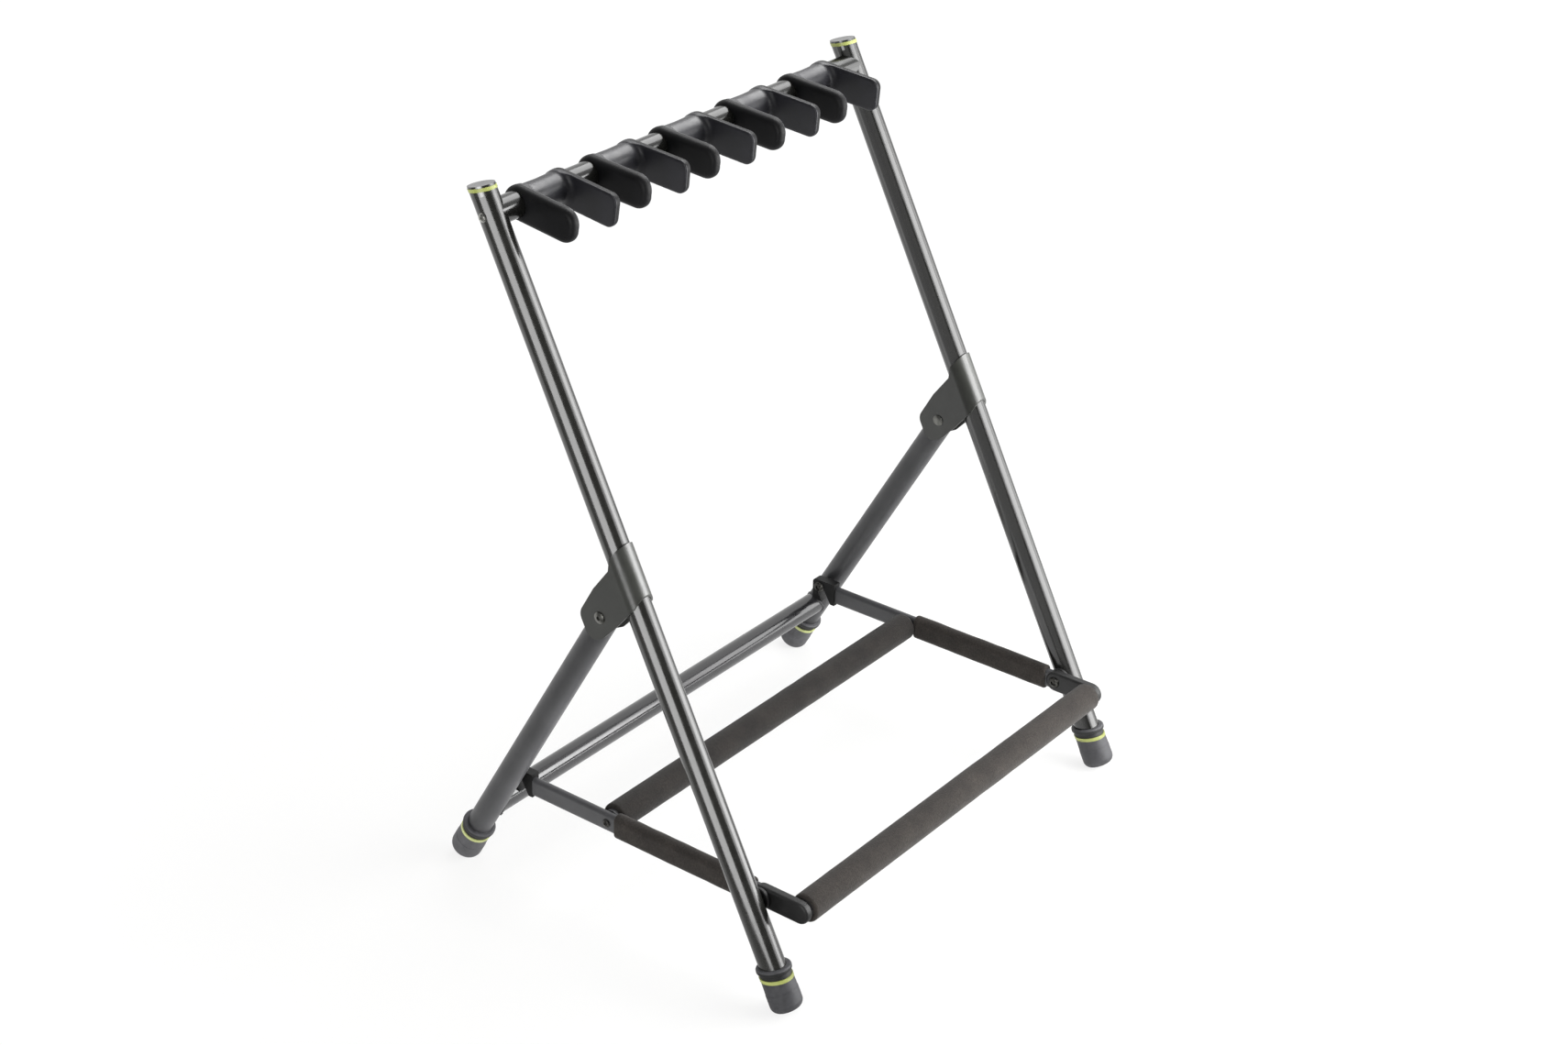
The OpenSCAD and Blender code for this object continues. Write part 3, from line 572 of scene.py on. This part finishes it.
def fastener(name, body, node, heads, shank, kind, slot):
    """Screws or bolts as one piece: each head is given as (place under the head facing outwards, radius,
    height, length of shank behind it)."""
    parts, cutters = bmesh.new(), []
    for place, radius, height, length in heads:
        revolve(parts, fastener_outline(radius, height, shank, length), place, steps=48)
        top = place @ Matrix.Translation((height, 0, 0))
        cutters.extend(recess(kind, top, RECESS_SHARE * radius))
    made = loose(parts, name)
    for cutter in cutters:
        boolean(made, cutter, "DIFFERENCE")
    dress(name, baked(made, *cutters), body, slot, node, sharp=32)


def facing(x, y, z, outward):
    """Place at a point whose X axis looks to the right (1) or to the left (-1)."""
    turn = Matrix.Identity(4) if outward > 0 else Matrix.Rotation(math.pi, 4, "Z")
    return Matrix.Translation((x, y, z)) @ turn


def bolts():
    """Hex-socket pivot bolts and studs, whose heads face inwards."""
    for kind, body in (("pivot_bolt", "uprights"), ("hook_stud", "rear_legs")):
        for name, side in SIDES.items():
            node = "%s_%s" % (kind, name)
            centre, half = middle(node)
            under = facing(centre.x - side * (half.x - BOLT_HEAD), centre.y, centre.z, -side)
            head = (under, half.z, BOLT_HEAD, 2 * half.x - BOLT_HEAD)
            fastener(node + "_black", body, node, [head], BOLT_RADIUS, "hexagon", "black_steel")


def screws():
    """Cross-headed screws through the outer sides: into the top bar and into the middle bar."""
    for node, body, length, slot in (("top_bar_screws", "uprights", TOP_SCREW_LENGTH, "steel"),
                                     ("bar_screws", "base_frame", BAR_SCREW_LENGTH, "black_steel")):
        centre, half = middle(node)
        heads = [(facing(side * (half.x - SCREW_HEAD), centre.y, centre.z, side), SCREW_HEAD_RADIUS,
                  SCREW_HEAD, length) for side in SIDES.values()]
        fastener(node + "_crossed", body, node, heads, SCREW_RADIUS, "cross", slot)


# Welds where the crossbar meets the rear legs

def weld_bead(name):
    """Thin uneven weld bead along the saddle where the crossbar's end meets a leg."""
    bar, _ = middle("rear_crossbar")
    leg, _ = middle("rear_leg_" + name)
    along_bar = Vector((1, 0, 0))
    across_leg = Vector((0, math.cos(LEG_LEAN), math.sin(LEG_LEAN)))
    bm = bmesh.new()
    rings = []
    for i in range(WELD_STEPS):
        turn = 2 * math.pi * i / WELD_STEPS
        out = Vector((0, math.cos(turn), math.sin(turn)))
        beside = CROSSBAR_RADIUS * out.dot(across_leg)
        inward = math.sqrt(TUBE_RADIUS ** 2 - beside ** 2)
        spot = Vector((leg.x - SIDES[name] * inward, bar.y, bar.z)) + out * CROSSBAR_RADIUS
        ripple = WELD_RIPPLE * math.sin(WELD_RIPPLES * turn)
        lump = WELD_LUMP * noise.noise(spot / WELD_LUMP_SIZE)
        across_bead = Matrix((out, along_bar, out.cross(along_bar))).transposed().to_4x4()
        ring = bmesh.ops.create_circle(bm, segments=10, radius=WELD_RADIUS * (1 + ripple + lump),
                                       matrix=Matrix.Translation(spot) @ across_bead)
        rings.append(edges_of(ring))
    bridge(bm, rings)
    piece = "weld_bead_" + name
    dress(piece, mesh_of(bm, piece), "rear_legs", "grey_tube", sharp=70)


# Base frame: foam sleeves and noses

def sleeve_outline(length, outer, bore, soft, corner_steps, run_steps):
    """Half section of a foam sleeve as (along, radius): soft cut ends and a finely stepped run between."""
    end = arc((length - soft, outer - soft), soft, 0, 90, corner_steps)
    straight = 2 * length - 2 * soft
    run = [(length - soft - straight * i / run_steps, outer) for i in range(1, run_steps)]
    other = [(-along, radius) for along, radius in reversed(end)]
    return [(length, bore)] + end + run + other + [(-length, bore)]


def uneven(bm, skin, amount, wave):
    """Moves the outer skin of a sleeve in and out a little, as cut foam tube is never quite even. The skin
    function gives the way to move at a point, or None off the skin."""
    for vert in bm.verts:
        way = skin(vert.co)
        if way:
            vert.co += way * amount * noise.noise(vert.co / wave)


def bar_foam(node):
    """Round foam tube on a bar, more uneven at some places along it than at others."""
    centre, half = middle(node)
    outer = half.z
    bm = bmesh.new()
    outline = sleeve_outline(half.x, outer, PAD_BAR_BORE, BAR_FOAM_SOFT, 6, 150)
    revolve(bm, outline, Matrix.Translation(centre), steps=72, closed=True)

    def skin(point):
        away = Vector((0, point.y - centre.y, point.z - centre.z))
        if away.length < outer - BAR_FOAM_SKIN:
            return None
        return -away.normalized() * (0.6 + 0.4 * math.sin(point.x * FOAM_TURNS))

    uneven(bm, skin, amount=0.3 * MM, wave=22 * MM)
    piece = node + "_sleeve"
    made = dress(piece, mesh_of(bm, piece), "base_frame", "foam", node, sharp=60)
    # each bar takes its foam copy: painted lighter on the front bar as painted light, darker on the middle
    # bar as painted shade
    made.data.materials[0] = BAR_FOAM[node]


def oval_ring(bm, centre, straight, radius, y):
    """Upright oval ring round a rail, at one place along it."""
    segments = 64
    place = Matrix.Translation((centre.x, y, centre.z)) @ Matrix.Rotation(math.pi / 2, 4, "X")
    half_step = Matrix.Rotation(math.pi / segments, 4, "Z")
    ring = bmesh.ops.create_circle(bm, segments=segments, radius=radius, matrix=place @ half_step)
    for vert in ring["verts"]:
        vert.co.z += math.copysign(straight / 2, vert.co.z - centre.z)
    return edges_of(ring)


def rail_foam(node):
    """Oval foam sleeve stretched on a flat rail."""
    centre, half = middle(node)
    outer = half.x
    straight = 2 * (half.z - outer)
    bm = bmesh.new()
    outline = sleeve_outline(half.y, outer, RAIL_BORE, RAIL_FOAM_SOFT, 5, 60)
    bridge(bm, [oval_ring(bm, centre, straight, radius, centre.y + y) for y, radius in outline])

    def skin(point):
        bend = max(-straight / 2, min(straight / 2, point.z - centre.z))
        away = Vector((point.x - centre.x, 0, point.z - centre.z - bend))
        if away.length < outer - RAIL_FOAM_SKIN:
            return None
        return -away.normalized()

    uneven(bm, skin, amount=0.25 * MM, wave=16 * MM)
    piece = node + "_sleeve"
    made = dress(piece, mesh_of(bm, piece), "base_frame", "foam", node, sharp=60)


def nose(name):
    """Black moulded nose: a soft-edged link over the rail's front end, round about the front bar and the
    pivot, bored for the pivot bolt and let in where the bolt's head and the bush bear on it."""
    side = SIDES[name]
    rail, rail_half = middle("side_rail_" + name)
    bar, _ = middle("front_bar")
    bolt, bolt_half = middle("pivot_bolt_" + name)
    bush, bush_half = middle("pivot_bush_" + name)
    width = 2 * rail_half.x + NOSE_SPREAD
    bm = slab([(Matrix.Translation((rail.x, end.y, rail.z)), rail_half.z + NOSE_LIP) for end in (bar, bush)],
              width)
    round_rim(bm, NOSE_ROUND, 6)
    made = loose(bm, "nose")
    under_head = bolt.x - side * (bolt_half.x - BOLT_HEAD - PIVOT_CLEARANCE)
    bush_face = bush.x - side * (bush_half.x + PIVOT_CLEARANCE)
    cuts = [rod(rail.x - width, rail.x + width, BOLT_RADIUS + PIVOT_CLEARANCE, bolt),
            rod(under_head, under_head - side * width, bolt_half.z + PIVOT_CLEARANCE, bolt),
            rod(bush_face, bush_face + side * width, bush_half.z + PIVOT_CLEARANCE, bush)]
    for cut in cuts:
        boolean(made, cut, "DIFFERENCE")
    dress("nose_moulding_" + name, baked(made, *cuts), "base_frame", "black_plastic", "rail_nose_" + name,
          sharp=45)


neck_yokes()
bolts()
screws()
for side in SIDES:
    weld_bead(side)
for node in BAR_FOAM:
    bar_foam(node)
for side in SIDES:
    rail_foam("rail_foam_" + side)
    nose(side)


# Floor, light and camera

CAMERA_AZIMUTH = math.radians(-50.166)
CAMERA_ELEVATION = math.radians(24.584)
CAMERA_PLACE = Vector((-1.93755, -1.43056, 1.58499))
TO_CAMERA = Vector((math.sin(CAMERA_AZIMUTH), -math.cos(CAMERA_AZIMUTH), 0))
FLOOR_HALF = 12
FLOOR_WHITE = 1.05
FRONT_RIGHT = (0.6, -0.92, 0.62)
ABOVE_RIGHT = (1.1, 0.2, 2.1)


def seen_rays(tree):
    """Whether a ray comes from the camera, and whether it comes off a shiny or clear surface."""
    path = add(tree, "LightPath")
    mirrored = add(tree, "Math", {0: path.outputs["Is Glossy Ray"], 1: path.outputs["Is Transmission Ray"]},
                   operation="ADD", use_clamp=True)
    return path.outputs["Is Camera Ray"], mirrored.outputs[0]


def floor():
    """Pale seamless floor, white to the camera with a soft shadow; shiny parts see it white too, but for the
    unlit stretch towards the camera."""
    bm = bmesh.new()
    bmesh.ops.create_grid(bm, x_segments=1, y_segments=1, size=FLOOR_HALF)
    made = loose(bm, "floor")
    material, tree, place = new_material("white_paper_floor")
    camera_ray, mirrored = seen_rays(tree)
    nearer = add(tree, "VectorMath", {0: place, 1: TO_CAMERA}, operation="DOT_PRODUCT")
    lit = add(tree, "MapRange", {"Value": nearer.outputs["Value"], "From Min": 0.1, "From Max": 0.5,
                                 "To Min": 1.0, "To Max": 0.2}, interpolation_type="SMOOTHSTEP")
    away = add(tree, "VectorMath", {0: place}, operation="LENGTH")
    share = add(tree, "MapRange", {"Value": away.outputs["Value"], "From Min": 0.45, "From Max": 1.1,
                                   "To Min": 0.76, "To Max": 1.0}, interpolation_type="SMOOTHSTEP")
    shown = add(tree, "Math", {0: camera_ray, 1: share.outputs["Result"], 2: mirrored},
                operation="MULTIPLY_ADD")
    bright = add(tree, "Math", {0: mirrored, 1: lit.outputs["Result"]}, operation="MULTIPLY")
    bright = add(tree, "Math", {0: camera_ray, 1: FLOOR_WHITE, 2: bright.outputs[0]},
                 operation="MULTIPLY_ADD")
    paper = add(tree, "BsdfDiffuse", {"Color": linear("#f2f2f0")})
    glow = add(tree, "Emission", {"Color": (1, 1, 1, 1), "Strength": bright.outputs[0]})
    mix = add(tree, "MixShader", {"Fac": shown.outputs[0], 1: paper.outputs["BSDF"],
                                  2: glow.outputs["Emission"]})
    add(tree, "OutputMaterial", {"Surface": mix.outputs["Shader"]})
    made.data.materials.append(material)


def surroundings():
    """Studio: white to the camera, white behind the object and dark towards the camera in shiny parts, and an
    even light on the rest."""
    world = bpy.data.worlds.new("studio")
    bpy.context.scene.world = world
    world.use_nodes = True
    tree = world.node_tree
    tree.nodes.clear()
    camera_ray, mirrored = seen_rays(tree)
    way = add(tree, "TexCoord").outputs["Generated"]
    nearer = add(tree, "VectorMath", {0: way, 1: TO_CAMERA}, operation="DOT_PRODUCT")
    wall = add(tree, "MapRange", {"Value": nearer.outputs["Value"], "From Min": -0.5, "From Max": 0.1,
                                  "To Min": 1.0, "To Max": 0.08}, interpolation_type="SMOOTHSTEP")
    even = add(tree, "MapRange", {"Value": mirrored, "To Min": 0.38, "To Max": wall.outputs["Result"]})
    strength = add(tree, "MapRange", {"Value": camera_ray, "To Min": even.outputs["Result"], "To Max": 1.0})
    light = add(tree, "Background", {"Color": (1, 1, 1, 1), "Strength": strength.outputs["Result"]})
    add(tree, "OutputWorld", {"Surface": light.outputs["Background"]})


def light_linking(lamp, names, state):
    """Keeps a lamp to some pieces (INCLUDE) or off them (EXCLUDE), as flags on stands would."""
    listed = bpy.data.collections.new(lamp.name + "_pieces")
    for name in names:
        listed.objects.link(bpy.data.objects[name])
    for item in listed.collection_objects:
        item.light_linking.link_state = state
    lamp.light_linking.receiver_collection = listed


def softbox(name, place, target, width, height, power, lean=0.0, only=(), spared=()):
    """Rectangular soft lamp aimed at a point, its long side leaned about the line of aim. It lights only some
    pieces, or all but the spared ones, where they are named."""
    lamp = bpy.data.lights.new(name, "AREA")
    lamp.shape = "RECTANGLE"
    lamp.size, lamp.size_y = width, height
    lamp.energy = power
    made = new_object(name, lamp)
    made.location = place
    made.rotation_mode = "QUATERNION"
    aim = (Vector(target) - Vector(place)).to_track_quat("-Z", "Y")
    made.rotation_quaternion = aim @ Quaternion((0, 0, 1), lean)
    made.visible_camera = False
    if only:
        light_linking(made, only, "INCLUDE")
    if spared:
        light_linking(made, spared, "EXCLUDE")


def upright_strip(side, place, width, power):
    """Lamp that runs along one upright and puts a streak on that tube and its cap alone."""
    tube = "upright_" + side
    softbox(tube + "_strip", place, middle(tube)[0], width, 1.0, power, lean=UPRIGHT_LEAN,
            only=[tube, "top_cap_" + side])


def lamps():
    """Two lamps in front and one above on the right, one on the left, and lamps for single pieces."""
    softbox("front_box", (0.85, -0.92, 0.62), (0.5, 0, 0.42), width=1.9, height=1.3, power=22,
            spared=["front_foot_rings"])
    softbox("front_core", FRONT_RIGHT, (0.4, 0, 0.42), width=0.75, height=1.2, power=12)
    softbox("top_box", ABOVE_RIGHT, (0, 0.1, 0.4), width=1.4, height=1.2, power=17, spared=["rear_crossbar"])
    softbox("bracket_box", FRONT_RIGHT, (0, -0.05, 0.36), width=0.75, height=1.2, power=10,
            only=paired("hinge_bracket"))
    softbox("side_box", (-2.0, -0.45, 0.8), (-0.2, 0, 0.4), width=0.8, height=1.6, power=18,
            spared=paired("upright") + paired("rear_leg") + ["hinge_bracket_right"])
    softbox("yoke_box", ABOVE_RIGHT, (0, 0.1, 0.6), width=1.5, height=1.3, power=34,
            only=["yoke_moulding_%d" % number for number in YOKES])
    softbox("leg_box", (-0.1, -1.3, 0.6), (-0.27, 0.1, 0.2), width=0.9, height=0.9, power=40,
            only=["rear_leg_left"])
    upright_strip("left", (-0.664, -0.138, 0.413), width=0.4, power=6.4)
    upright_strip("right", (-0.155, -0.042, 0.365), width=1.3, power=2)


def camera():
    """Camera at the photograph's view: in front, to the left and above, framed on a 1710 x 1140 picture."""
    back = TO_CAMERA * math.cos(CAMERA_ELEVATION) + Vector((0, 0, math.sin(CAMERA_ELEVATION)))
    right = Vector((math.cos(CAMERA_AZIMUTH), math.sin(CAMERA_AZIMUTH), 0))
    up = back.cross(right)
    data = bpy.data.cameras.new("camera")
    data.sensor_width = 36
    data.lens = 64.949
    data.shift_x, data.shift_y = 0.08634, -0.09794
    made = new_object("camera", data)
    turn = Matrix((right, up, back)).transposed().to_4x4()
    made.matrix_world = Matrix.Translation(CAMERA_PLACE) @ turn
    bpy.context.scene.camera = made


floor()
surroundings()
lamps()
camera()
bpy.context.scene.view_settings.view_transform = "Standard"
